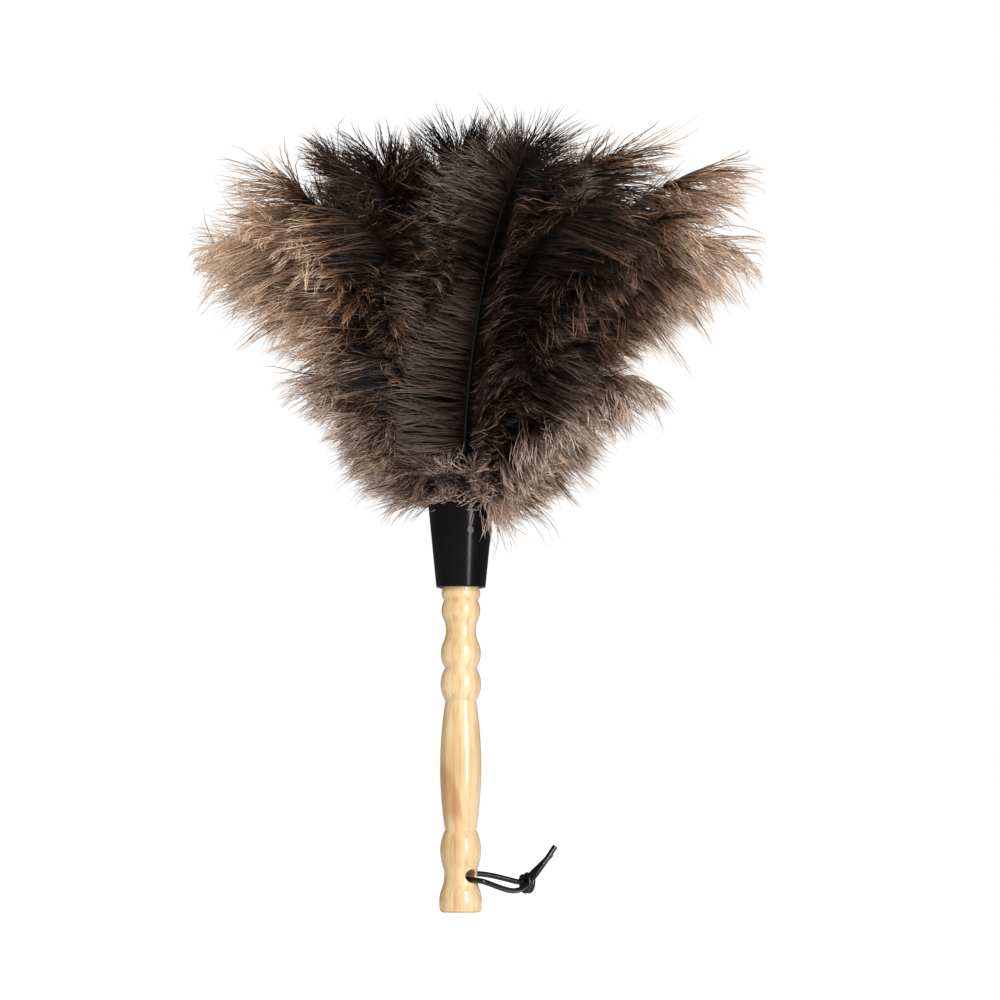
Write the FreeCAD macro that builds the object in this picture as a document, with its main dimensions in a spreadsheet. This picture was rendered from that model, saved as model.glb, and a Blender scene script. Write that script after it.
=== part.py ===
import FreeCAD, Part
import math
import os
import Sketcher
from FreeCAD import Placement, Rotation, Vector

# Feather duster: a turned wooden handle with a leather hanging thong through
# its foot, a tapered plastic collar pushed onto a spindle at its head, and five
# rings of ostrich plumes whose quills stand round the spindle inside the
# collar, each ring bound with its own winding of wire.
#
# Millimetres. The origin is the centre of the handle's foot face, +Z runs up
# the handle to the feathers, and the thong's loop hangs out to +X +Y.

os.makedirs("parts", exist_ok=True)
doc = FreeCAD.newDocument("FeatherDuster")

ROOT, X_LINE, Z_LINE = -1, -1, -2  # a sketch's own origin point and its two axes
TOUCHING = 0.01  # closer than this counts as the same place

# ---------------------------------------------------------------- dimensions

SIZES = [
    ("spindle_radius", 4.2, "peg above the neck that the quills stand round"),
    ("spindle_top", 198.0, "height of the spindle's end"),
    ("spindle_chamfer", 0.8, "lead-in on the spindle's end"),
    ("neck_radius", 9.25, "plain neck inside the collar's mouth"),
    ("shoulder_height", 163.5, "step that the collar's web sits on"),
    ("thong_hole_radius", 3.25, "cross hole in the foot's cove"),
    ("thong_hole_height", 17.8, "height of the cross hole's axis"),
    ("thong_hole_edge", 0.7, "rounding of the cross hole's two mouths"),
    ("thong_hole_turn", 45.0, "turn of the cross hole about the handle"),
    ("collar_bottom", 160.5, "height of the collar's lower rim"),
    ("collar_top", 202.0, "height of the collar's upper rim"),
    ("collar_bottom_radius", 12.25, "outside radius at the lower rim"),
    ("collar_top_radius", 16.4, "outside radius at the upper rim"),
    ("collar_wall", 1.6, "wall measured across the axis"),
    ("collar_rim", 0.6, "rounding of both outer rims"),
    ("web_thickness", 1.5, "web inside the collar that rests on the shoulder"),
    ("web_clearance", 0.05, "gap between the web's bore and the spindle"),
    ("gate_radius", 1.8, "moulding gate's round dimple in the collar"),
    ("gate_height", 188.5, "height of the gate dimple"),
    ("gate_depth", 0.5, "depth of the gate dimple"),
    ("gate_turn", 20.0, "turn of the gate dimple about the handle"),
    ("wire_diameter", 0.7, "binding wire"),
    ("wire_turns", 5, "close turns in each binding"),
    ("wire_gap", 0.05, "gap between a binding and the quills inside it"),
    ("wire_lift", 1.4, "height of a binding above its quills' feet"),
    ("quill_radius", 0.8, "shaft of a plume"),
    ("quill_end", 0.9, "share of the plume's bend that its shaft follows"),
    ("bend_start", 201.0, "height where the quills begin to bend outwards"),
    ("vane_start", 4.0, "bare shaft between the start of the bend and the vane"),
    ("vane_thickness", 0.8, "soft vane"),
    ("vane_rounding", 0.8, "rounding of a vane's tip, as a share of its half width"),
    ("lace_diameter", 2.8, "round leather lace of the thong"),
    ("lace_axis_height", 16.3, "height of the lace where it lies in the cross hole"),
    ("knot_radius", 3.9, "overhand knot at its waist"),
    ("knot_end_radius", 1.6, "overhand knot at its upper and lower end"),
    ("knot_length", 12.0, "overhand knot from end to end"),
    ("knot_reach", 47.2, "knot's centre from the handle's axis"),
    ("knot_height", 13.6, "knot's centre above the foot face"),
]

# The handle's outline from the foot up: each station's name, radius, height and
# the radius of the turned curve that leads to it. A positive curve is a bead, a
# negative one a cove, and None a straight cut.
STATIONS = [
    ("foot_face", 9.2, 0.0, None),
    ("foot_corner", 10.4, 1.6, 1.5),
    ("foot_flare", 9.8, 10.5, 19.8),
    ("foot_cove", 9.2, 23.4, -16.9),
    ("foot_bead", 7.8, 40.3, 23.5),
    ("grip", 7.65, 104.0, 206.0),
    ("grip_step", 8.0, 104.8, None),
    ("lower_bead", 8.2, 119.8, 15.4),
    ("bead_groove", 7.8, 120.4, None),
    ("barrel_foot", 8.1, 121.0, None),
    ("barrel", 8.9, 133.0, 13.8),
    ("neck_cove", 8.9, 145.4, -14.0),
    ("upper_bead", 8.35, 154.2, 10.1),
    ("ring_foot", 8.7, 154.7, None),
    ("ring", 9.25, 159.6, 5.1),
]

# The rings of plumes from the middle outwards: how many, the turn of the first,
# the angle left open before it, the radius that the quills stand at, the height
# of their feet, the radius of the outward bend, the angle from upright at the
# tip, and the vane's angle about the handle. The two outermost rings leave a
# parting at the front, where one long plume of the middle ring shows whole.
RINGS = [
    ("core", 5, 18.0, 0.0, 5.05, 165.6, 900.0, 12.3, 64.0),
    ("inner", 9, 30.0, 0.0, 6.7, 171.3, 290.0, 42.0, 36.0),
    ("middle", 11, 16.0, 0.0, 8.35, 177.0, 175.0, 72.0, 30.0),
    ("outer", 12, 297.0, 26.0, 10.0, 182.7, 122.0, 97.0, 25.4),
    ("lower", 11, 300.0, 30.0, 11.65, 188.3, 66.0, 108.0, 27.0),
]
SHORT_BEND = 42.0  # every second plume of the lowest ring is a short one
# Plumes differ in length: these shares of the ring's angle repeat round a ring.
LENGTHS = [1.0, 0.96, 0.985, 0.93]

# Centreline of the thong's lace, from one tail's tip through the knot, along
# the loop, through the handle and back: distance along the loop's direction,
# distance across it towards the back, and height.
LACE_ROUTE = [
    (62.4, -4.7, 31.8),
    (58.6, -3.4, 26.3),
    (54.2, -2.3, 21.0),
    (49.8, -1.7, 16.2),
    (44.4, -1.9, 12.4),
    (37.6, -4.3, 10.3),
    (28.0, -8.6, 9.9),
    (18.2, -12.0, 11.2),
    (9.2, -12.9, 13.5),
    (0.3, -12.5, 16.1),
    (0.0, 0.0, 16.2),
    (0.3, 12.5, 16.5),
    (9.2, 12.9, 17.8),
    (18.2, 12.0, 18.7),
    (27.6, 8.6, 18.0),
    (37.8, 4.3, 15.4),
    (44.4, 1.7, 13.6),
    (49.8, 1.5, 16.8),
    (54.4, 0.9, 20.4),
    (59.0, -0.2, 24.0),
    (63.6, -0.8, 27.8),
]

sheet = doc.addObject("Spreadsheet::Sheet", "Sizes")
sheet_row = 0


def record_size(alias, value, note=""):
    """Write one named value on the next row of the sheet."""
    global sheet_row
    sheet_row += 1
    sheet.set("A%d" % sheet_row, alias)
    sheet.set("B%d" % sheet_row, str(value))
    sheet.setAlias("B%d" % sheet_row, alias)
    sheet.set("C%d" % sheet_row, note)


for alias, value, note in SIZES:
    record_size(alias, value, note)
for name, radius, height, curve in STATIONS:
    record_size(name + "_radius", radius, "handle outline")
    record_size(name + "_height", height, "handle outline")
    if curve:
        record_size(name + "_curve", abs(curve), "curve that ends here")
for name, count, turn, parting, radius, foot, bend, reach, spread in RINGS:
    record_size(name + "_count", count, "plumes in the ring")
    record_size(name + "_turn", turn, "turn of the ring's first plume")
    record_size(name + "_parting", parting, "angle left open before the first plume")
    record_size(name + "_quill_ring", radius, "radius that the quills stand at")
    record_size(name + "_quill_foot", foot, "height of the quills' feet")
    record_size(name + "_bend", bend, "radius of the outward bend")
    record_size(name + "_reach", reach, "angle from upright at the tip")
    record_size(name + "_spread", spread, "the vane's angle about the handle")
record_size("short_bend", SHORT_BEND, "outward bend of the lowest ring's short plumes")
doc.recompute()


def size(alias):
    """The value of a named cell."""
    return float(getattr(sheet, alias))


# ------------------------------------------------------------------- helpers


def new_body(label):
    body = doc.addObject("PartDesign::Body", label)
    body.Label = label
    return body


def origin_of(body, role):
    """One of a body's own origin planes or axes."""
    for feature in body.Origin.OriginFeatures:
        if feature.Role == role:
            return feature
    raise ValueError(role)


def new_sketch(body, name, plane="XZ_Plane"):
    sketch = body.newObject("Sketcher::SketchObject", name)
    sketch.AttachmentSupport = [(origin_of(body, plane), "")]
    sketch.MapMode = "FlatFace"
    return sketch


def bind(sketch, kind, places, value, formula):
    """Add a dimension to a sketch and bind it to the sheet."""
    index = sketch.addConstraint(Sketcher.Constraint(kind, *places, value))
    sketch.setExpression("Constraints[%d]" % index, formula)


def place_point(sketch, geo, end, point, formulas):
    """Tie a sketch point to two distances from the sketch's origin."""
    for kind, value, formula, line in (
        ("DistanceX", point.x, formulas[0], Z_LINE),
        ("DistanceY", point.y, formulas[1], X_LINE),
    ):
        if formula is None:
            sketch.addConstraint(Sketcher.Constraint("PointOnObject", geo, end, line))
        else:
            bind(sketch, kind, (ROOT, 1, geo, end), value, formula)


def polygon(sketch, corners):
    """A closed outline of straight lines through corners, each (x, y, x formula, y formula)."""
    points = [Vector(c[0], c[1], 0) for c in corners]
    count = len(points)
    for i in range(count):
        sketch.addGeometry(Part.LineSegment(points[i], points[(i + 1) % count]))
    for i in range(count):
        sketch.addConstraint(Sketcher.Constraint("Coincident", i, 2, (i + 1) % count, 1))
    for i, corner in enumerate(corners):
        place_point(sketch, i, 1, points[i], corner[2:])


def revolve(body, sketch, name, degrees=360.0, formula=None):
    turned = body.newObject("PartDesign::Revolution", name)
    turned.Profile = sketch
    turned.ReferenceAxis = (origin_of(body, "Z_Axis"), [""])
    turned.Angle = degrees
    if formula:
        turned.Midplane = True
        turned.setExpression("Angle", formula)
    return turned


def turn_about_axis(body, formula):
    """Turn a whole body about the handle's axis, by an angle from the sheet."""
    body.setExpression("Placement.Rotation.Angle", formula)


def arc_between(start, end, radius, bulge):
    """The minor arc from start to end that bulges away from the axis (1) or towards it (-1)."""
    half = (end - start) * 0.5
    middle = start + half
    outward = Vector(half.y, -half.x, 0).normalize() * bulge
    height = math.sqrt(radius * radius - half.Length**2)
    crown = middle + outward * (radius - height)
    return Part.Arc(start, crown, end)


def check_cut(body, tip, before):
    """A cut that points the wrong way removes nothing."""
    if tip.Shape.Volume >= before:
        raise RuntimeError("%s: %s removed nothing" % (body.Label, tip.Name))


# -------------------------------------------------------------------- handle

EDGE_SAMPLES = 9  # places along an edge that are looked at to tell where it runs


def make_handle():
    """One turned piece: foot, grip and beads, then the neck and the bare spindle."""
    body = new_body("handle")
    outline = new_sketch(body, "HandleOutline")
    corners = [("axis_foot", None, None, 0.0, 0.0, None)]
    for name, radius, height, curve in STATIONS:
        height_formula = "Sizes.%s_height" % name if height else None
        corners.append((name, "Sizes.%s_radius" % name, height_formula, radius, height, curve))
    neck, spindle = size("neck_radius"), size("spindle_radius")
    shoulder, top, chamfer = size("shoulder_height"), size("spindle_top"), size("spindle_chamfer")
    inner = "Sizes.spindle_radius - Sizes.spindle_chamfer"
    below = "Sizes.spindle_top - Sizes.spindle_chamfer"
    corners += [
        ("shoulder", "Sizes.neck_radius", "Sizes.shoulder_height", neck, shoulder, None),
        ("spindle_foot", "Sizes.spindle_radius", "Sizes.shoulder_height", spindle, shoulder, None),
        ("spindle_side", "Sizes.spindle_radius", below, spindle, top - chamfer, None),
        ("spindle_end", inner, "Sizes.spindle_top", spindle - chamfer, top, None),
        ("axis_top", None, "Sizes.spindle_top", 0.0, top, None),
    ]
    count = len(corners)
    for i in range(count):
        ahead = corners[(i + 1) % count]
        start = Vector(corners[i][3], corners[i][4], 0)
        end = Vector(ahead[3], ahead[4], 0)
        if ahead[5]:
            sketch_arc = arc_between(start, end, abs(ahead[5]), math.copysign(1, ahead[5]))
            outline.addGeometry(sketch_arc)
        else:
            outline.addGeometry(Part.LineSegment(start, end))
    # an arc runs anticlockwise in a sketch, so a cove's ends are swapped
    first = [2 if c[5] and c[5] < 0 else 1 for c in corners[1:] + corners[:1]]
    for i in range(count):
        ahead = (i + 1) % count
        joint = Sketcher.Constraint("Coincident", i, 3 - first[i], ahead, first[ahead])
        outline.addConstraint(joint)
    for i, (name, x_formula, z_formula, radius, height, curve) in enumerate(corners):
        place_point(outline, i, first[i], Vector(radius, height, 0), (x_formula, z_formula))
        if curve:
            bind(outline, "Radius", (i - 1,), abs(curve), "Sizes.%s_curve" % name)
    revolve(body, outline, "HandleTurning")
    doc.recompute()
    before = body.Shape.Volume

    hole = new_sketch(body, "ThongHoleCircle")
    centre = Vector(0, size("thong_hole_height"), 0)
    hole.addGeometry(Part.Circle(centre, Vector(0, 0, 1), size("thong_hole_radius")))
    place_point(hole, 0, 3, centre, (None, "Sizes.thong_hole_height"))
    bind(hole, "Radius", (0,), size("thong_hole_radius"), "Sizes.thong_hole_radius")
    drilling = body.newObject("PartDesign::Pocket", "ThongHole")
    drilling.Profile = hole
    drilling.Type = "ThroughAll"
    drilling.Midplane = True
    doc.recompute()
    check_cut(body, drilling, before)

    mouths = []
    axis_height = size("thong_hole_height")
    for number, edge in enumerate(drilling.Shape.Edges, 1):
        distances = [math.hypot(v.x, v.z - axis_height) for v in edge.discretize(EDGE_SAMPLES)]
        round_the_hole = max(distances) < size("thong_hole_radius") + TOUCHING
        if round_the_hole and edge.Length > size("thong_hole_radius"):
            mouths.append("Edge%d" % number)
    rounding = body.newObject("PartDesign::Fillet", "ThongHoleMouths")
    rounding.Base = (drilling, mouths)
    rounding.setExpression("Radius", "Sizes.thong_hole_edge")
    turn_about_axis(body, "Sizes.thong_hole_turn")
    return body


# -------------------------------------------------------------------- collar


def make_collar():
    """A moulded taper with an open mouth at each end and a web that sits on the shoulder."""
    body = new_body("collar")
    low, high = size("collar_bottom"), size("collar_top")
    low_radius, high_radius = size("collar_bottom_radius"), size("collar_top_radius")
    wall, web_low = size("collar_wall"), size("shoulder_height")
    web_high = web_low + size("web_thickness")
    bore = size("spindle_radius") + size("web_clearance")
    taper = (high_radius - low_radius) / (high - low)
    taper_text = (
        "(Sizes.collar_top_radius - Sizes.collar_bottom_radius)"
        " / (Sizes.collar_top - Sizes.collar_bottom)"
    )
    bottom_text = "Sizes.collar_bottom_radius - Sizes.collar_wall"
    inside = bottom_text + " + (%s - Sizes.collar_bottom) * " + taper_text
    web_low_text = "Sizes.shoulder_height"
    web_high_text = "Sizes.shoulder_height + Sizes.web_thickness"
    bore_text = "Sizes.spindle_radius + Sizes.web_clearance"

    def inner(height):
        return low_radius - wall + (height - low) * taper

    section = new_sketch(body, "CollarSection")
    polygon(
        section,
        [
            (inner(low), low, bottom_text, "Sizes.collar_bottom"),
            (low_radius, low, "Sizes.collar_bottom_radius", "Sizes.collar_bottom"),
            (high_radius, high, "Sizes.collar_top_radius", "Sizes.collar_top"),
            (inner(high), high, "Sizes.collar_top_radius - Sizes.collar_wall", "Sizes.collar_top"),
            (inner(web_high), web_high, inside % ("(%s)" % web_high_text), web_high_text),
            (bore, web_high, bore_text, web_high_text),
            (bore, web_low, bore_text, web_low_text),
            (inner(web_low), web_low, inside % web_low_text, web_low_text),
        ],
    )
    shell = revolve(body, section, "CollarShell")
    doc.recompute()
    rims = []
    for number, edge in enumerate(shell.Shape.Edges, 1):
        centre = edge.BoundBox.Center
        for height, radius in ((low, low_radius), (high, high_radius)):
            level = abs(centre.z - height) < TOUCHING and edge.BoundBox.ZLength < TOUCHING
            if level and abs(edge.BoundBox.XMax - radius) < TOUCHING:
                rims.append("Edge%d" % number)
    rounding = body.newObject("PartDesign::Fillet", "CollarRims")
    rounding.Base = (shell, rims)
    rounding.setExpression("Radius", "Sizes.collar_rim")
    doc.recompute()
    before = body.Shape.Volume

    gate = new_sketch(body, "GateCircle")
    centre = Vector(0, size("gate_height"), 0)
    gate.addGeometry(Part.Circle(centre, Vector(0, 0, 1), size("gate_radius")))
    place_point(gate, 0, 3, centre, (None, "Sizes.gate_height"))
    bind(gate, "Radius", (0,), size("gate_radius"), "Sizes.gate_radius")
    # the sketch lies on the dimple's floor, in front of the axis
    floor = "Sizes.collar_bottom_radius + (Sizes.gate_height - Sizes.collar_bottom) * %s" % taper_text
    gate.setExpression("AttachmentOffset.Base.z", "%s - Sizes.gate_depth" % floor)
    dimple = body.newObject("PartDesign::Pocket", "GateDimple")
    dimple.Profile = gate
    dimple.Type = "ThroughAll"
    dimple.Reversed = True
    doc.recompute()
    check_cut(body, dimple, before)
    turn_about_axis(body, "Sizes.gate_turn")
    return body


# ------------------------------------------------------------------ bindings


def make_binding(ring_name):
    """Close turns of wire round one ring's quills, as one scalloped band."""
    body = new_body("binding_wire_" + ring_name)
    wire = size("wire_diameter")
    turns = int(size("wire_turns"))
    ring, foot = "Sizes.%s_quill_ring" % ring_name, "Sizes.%s_quill_foot" % ring_name
    inner_text = "%s + Sizes.quill_radius + Sizes.wire_gap" % ring
    crown_text = "%s + Sizes.wire_diameter / 2" % inner_text
    inner = size(ring_name + "_quill_ring") + size("quill_radius") + size("wire_gap")
    crown = inner + wire / 2
    low = size(ring_name + "_quill_foot") + size("wire_lift")
    low_text = "%s + Sizes.wire_lift" % foot
    high = low + turns * wire
    high_text = "%s + Sizes.wire_turns * Sizes.wire_diameter" % low_text

    section = new_sketch(body, ring_name.capitalize() + "WireSection")
    corners = [
        (Vector(crown, high, 0), (crown_text, high_text)),
        (Vector(inner, high, 0), (inner_text, high_text)),
        (Vector(inner, low, 0), (inner_text, low_text)),
        (Vector(crown, low, 0), (crown_text, low_text)),
    ]
    for (start, formulas), (end, ahead) in zip(corners, corners[1:]):
        line = section.addGeometry(Part.LineSegment(start, end))
        place_point(section, line, 1, start, formulas)
        if line:
            section.addConstraint(Sketcher.Constraint("Coincident", line - 1, 2, line, 1))
    place_point(section, 2, 2, corners[3][0], corners[3][1])
    for turn in range(turns):
        start = Vector(crown, low + turn * wire, 0)
        middle = start + Vector(wire / 2, wire / 2, 0)
        end = start + Vector(0, wire, 0)
        arc = section.addGeometry(Part.Arc(start, middle, end))
        section.addConstraint(Sketcher.Constraint("Coincident", arc - 1, 2, arc, 1))
        bind(section, "DistanceX", (ROOT, 1, arc, 3), crown, crown_text)
        if turn < turns - 1:
            height_text = "%s + %g * Sizes.wire_diameter" % (low_text, turn + 0.5)
            bind(section, "DistanceY", (ROOT, 1, arc, 3), middle.y, height_text)
            section.addConstraint(Sketcher.Constraint("Vertical", arc, 1, arc, 2))
    section.addConstraint(Sketcher.Constraint("Coincident", arc, 2, 0, 1))
    revolve(body, section, ring_name.capitalize() + "WireTurns")
    return body


# -------------------------------------------------------------------- plumes


def make_quill(body, tag, ring_name, centre, centre_texts, reach, reach_text):
    """The plume's shaft: upright in the collar, then bent outwards on one arc."""
    ring, foot = centre_texts[2], "Sizes.%s_quill_foot" % ring_name
    base = Vector(size(ring_name + "_quill_ring"), size(ring_name + "_quill_foot"), 0)
    turning = Vector(base.x, centre.y, 0)
    spine = new_sketch(body, tag + "Spine")
    spine.addGeometry(Part.LineSegment(base, turning))
    circle = Part.Circle(centre, Vector(0, 0, 1), centre.x - base.x)
    spine.addGeometry(Part.ArcOfCircle(circle, math.pi - reach, math.pi))
    spine.addConstraint(Sketcher.Constraint("Coincident", 0, 2, 1, 2))
    place_point(spine, 0, 1, base, (ring, foot))
    place_point(spine, 0, 2, turning, (ring, "Sizes.bend_start"))
    place_point(spine, 1, 3, centre, centre_texts)
    bind(spine, "Angle", (1,), reach, reach_text)

    section = new_sketch(body, tag + "QuillSection", "XY_Plane")
    middle = Vector(base.x, 0, 0)
    section.addGeometry(Part.Circle(middle, Vector(0, 0, 1), size("quill_radius")))
    place_point(section, 0, 3, middle, (ring, None))
    bind(section, "Radius", (0,), size("quill_radius"), "Sizes.quill_radius")
    section.setExpression("AttachmentOffset.Base.z", foot)
    quill = body.newObject("PartDesign::AdditivePipe", tag + "Quill")
    quill.Profile = section
    quill.Spine = (spine, ["Edge1", "Edge2"])


def make_vane(body, tag, ring_name, centre, centre_texts, bend_text, reach, reach_text):
    """The soft vane: a thin sheet that follows the bend and widens away from the handle."""
    bend = centre.x - size(ring_name + "_quill_ring")
    half = size("vane_thickness") / 2
    start = size("vane_start") / bend
    section = new_sketch(body, tag + "VaneSection")
    for radius in (bend - half, bend + half):
        circle = Part.Circle(centre, Vector(0, 0, 1), radius)
        section.addGeometry(Part.ArcOfCircle(circle, math.pi - reach, math.pi - start))
    arcs = section.Geometry
    section.addGeometry(Part.LineSegment(arcs[0].StartPoint, arcs[1].StartPoint))
    section.addGeometry(Part.LineSegment(arcs[0].EndPoint, arcs[1].EndPoint))
    for line, end in ((2, 1), (3, 2)):
        section.addConstraint(Sketcher.Constraint("Coincident", line, 1, 0, end))
        section.addConstraint(Sketcher.Constraint("Coincident", line, 2, 1, end))
        section.addConstraint(Sketcher.Constraint("Perpendicular", line, 0))
    section.addConstraint(Sketcher.Constraint("Coincident", 0, 3, 1, 3))
    place_point(section, 0, 3, centre, centre_texts)
    bind(section, "Radius", (0,), bend - half, "%s - Sizes.vane_thickness / 2" % bend_text)
    bind(section, "Radius", (1,), bend + half, "%s + Sizes.vane_thickness / 2" % bend_text)
    rise = "(%s + Sizes.vane_thickness / 2) * sin(Sizes.vane_start / %s * 1 rad)"
    foot_text = "Sizes.bend_start + " + rise % (bend_text, bend_text)
    bind(section, "DistanceY", (ROOT, 1, 1, 2), arcs[1].EndPoint.y, foot_text)
    angle_text = "%s - Sizes.vane_start / %s * 180 / pi" % (reach_text, bend_text)
    bind(section, "Angle", (0,), reach - start, angle_text)
    spread = size(ring_name + "_spread")
    return revolve(body, section, tag + "Vane", spread, "Sizes.%s_spread" % ring_name)


def round_tip(body, tag, ring_name, bend_alias, reach, reach_text):
    """Trim the vane's end to a rounded leaf tip, square to the vane where the trim begins."""
    bend_text, ring_text = "Sizes." + bend_alias, "Sizes.%s_quill_ring" % ring_name
    bend, ring = size(bend_alias), size(ring_name + "_quill_ring")
    half_spread = math.radians(size(ring_name + "_spread") / 2)
    half_spread_text = "sin(Sizes.%s_spread / 2 * 1 deg)" % ring_name
    width = (ring + bend * (1 - math.cos(reach))) * math.sin(half_spread)
    width_text = "((%s + %s * (1 - cos(%s * 1 deg))) * %s)" % (
        ring_text,
        bend_text,
        reach_text,
        half_spread_text,
    )
    length, length_text = width * size("vane_rounding"), "%s * Sizes.vane_rounding" % width_text
    angle = reach - length / bend
    angle_text = "(%s - %s / %s * 180 / pi)" % (reach_text, length_text, bend_text)

    trim = new_sketch(body, tag + "TipOutline", "YZ_Plane")
    trim.AttachmentOffset = Placement(Vector(), Rotation(Vector(1, 0, 0), math.degrees(angle)))
    trim.setExpression("AttachmentOffset.Rotation.Angle", angle_text)
    height_text = "Sizes.bend_start + %s * sin(%s * 1 deg)" % (bend_text, angle_text)
    trim.setExpression("AttachmentOffset.Base.y", height_text)
    radius_text = "%s + %s * (1 - cos(%s * 1 deg))" % (ring_text, bend_text, angle_text)
    trim.setExpression("AttachmentOffset.Base.z", radius_text)
    left, right, crown = Vector(-width, 0, 0), Vector(width, 0, 0), Vector(0, length, 0)
    trim.addGeometry(Part.Arc(right, crown, left))
    # what is cut away reaches clear of the vane on both sides and past its end
    far = 2 * width
    corners = [(-far, 0), (-far, far), (far, far), (far, 0)]
    outside = [left] + [Vector(x, y, 0) for x, y in corners] + [right]
    for start, end in zip(outside, outside[1:]):
        line = trim.addGeometry(Part.LineSegment(start, end))
        trim.addConstraint(Sketcher.Constraint("Coincident", line - 1, 2, line, 1))
    trim.addConstraint(Sketcher.Constraint("Coincident", line, 2, 0, 1))
    far_text = "2 * " + width_text
    place_point(trim, 0, 1, right, (width_text, None))
    place_point(trim, 0, 2, left, ("-" + width_text, None))
    place_point(trim, 2, 1, outside[1], ("-2 * " + width_text, None))
    place_point(trim, 3, 1, outside[2], ("-2 * " + width_text, far_text))
    place_point(trim, 4, 1, outside[3], (far_text, far_text))
    place_point(trim, 5, 1, outside[4], (far_text, None))
    radius = (width**2 + length**2) / (2 * length)
    tip_radius_text = "(%s ^ 2 + (%s) ^ 2) / (2 * %s)" % (width_text, length_text, length_text)
    bind(trim, "Radius", (0,), radius, tip_radius_text)
    before = body.Shape.Volume
    pocket = body.newObject("PartDesign::Pocket", tag + "Tip")
    pocket.Profile = trim
    pocket.Midplane = True
    pocket.setExpression("Length", far_text)
    doc.recompute()
    check_cut(body, pocket, before)


def make_plume(ring_name, number, share, bend_alias):
    """One ostrich plume: its quill, its vane, and its place in the ring."""
    body = new_body("%s_plume_%02d" % (ring_name, number + 1))
    tag = "%s%02d" % (ring_name.capitalize(), number + 1)
    bend_text = "Sizes." + bend_alias
    ring_text = "Sizes.%s_quill_ring" % ring_name
    centre = Vector(size(ring_name + "_quill_ring") + size(bend_alias), size("bend_start"), 0)
    centre_texts = ("%s + %s" % (ring_text, bend_text), "Sizes.bend_start", ring_text)
    reach = math.radians(size(ring_name + "_reach") * share)
    reach_text = "Sizes.%s_reach * %g" % (ring_name, share)
    quill_text = "%s * Sizes.quill_end" % reach_text
    make_quill(body, tag, ring_name, centre, centre_texts, reach * size("quill_end"), quill_text)
    make_vane(body, tag, ring_name, centre, centre_texts, bend_text, reach, reach_text)
    doc.recompute()
    round_tip(body, tag, ring_name, bend_alias, reach, reach_text)
    step = "(360 - Sizes.%s_parting) / Sizes.%s_count" % (ring_name, ring_name)
    turn_about_axis(body, "Sizes.%s_turn + %d * %s" % (ring_name, number, step))
    return body


def make_ring(ring_name):
    """All the plumes of one ring, and the wire that binds them."""
    pieces = [make_binding(ring_name)]
    for number in range(int(size(ring_name + "_count"))):
        short = ring_name == "lower" and number % 2
        bend_alias = "short_bend" if short else ring_name + "_bend"
        share = LENGTHS[number % len(LENGTHS)]
        pieces.append(make_plume(ring_name, number, share, bend_alias))
    return pieces


# --------------------------------------------------------------------- thong

ARC_SHARE = 0.45  # of the shorter run beside a corner that its arc takes up


def lace_path(points):
    """Straight runs joined by tangent arcs, each as large as its two runs allow."""
    edges, radii = [], []
    reached = points[0]
    for before, corner, after in zip(points, points[1:], points[2:]):
        back, ahead = (before - corner), (after - corner)
        half_turn = (math.pi - back.getAngle(ahead)) / 2
        setback = ARC_SHARE * min(back.Length, ahead.Length)
        radius = setback / math.tan(half_turn)
        back.normalize()
        ahead.normalize()
        arc_start, arc_end = corner + back * setback, corner + ahead * setback
        inward = (back + ahead).normalize()
        crown = corner + inward * (radius / math.cos(half_turn) - radius)
        edges.append(Part.LineSegment(reached, arc_start).toShape())
        edges.append(Part.Arc(arc_start, crown, arc_end).toShape())
        radii.append(radius)
        reached = arc_end
    edges.append(Part.LineSegment(reached, points[-1]).toShape())
    return Part.Wire(edges), radii


def make_thong():
    """One length of round lace: tail, knot, loop, cross hole, loop, knot, tail."""
    points = [Vector(*point) for point in LACE_ROUTE]
    path, radii = lace_path(points)
    radius = size("lace_diameter") / 2
    circle = Part.Circle(points[0], points[1] - points[0], radius)
    tube = path.makePipe(Part.Face(Part.Wire(circle.toShape())))
    expected = math.pi * radius**2 * path.Length
    print("lace %.1f mm long, volume %.4f of section x length" % (path.Length, tube.Volume / expected))
    print("lace bend radii, mm:", ", ".join("%.1f" % r for r in radii))
    thong = doc.addObject("Part::Feature", "hanging_thong")
    thong.Label = "hanging_thong"
    thong.Shape = tube
    thong.Placement = Placement(Vector(), Rotation(Vector(0, 0, 1), size("thong_hole_turn")))
    return thong


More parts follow.
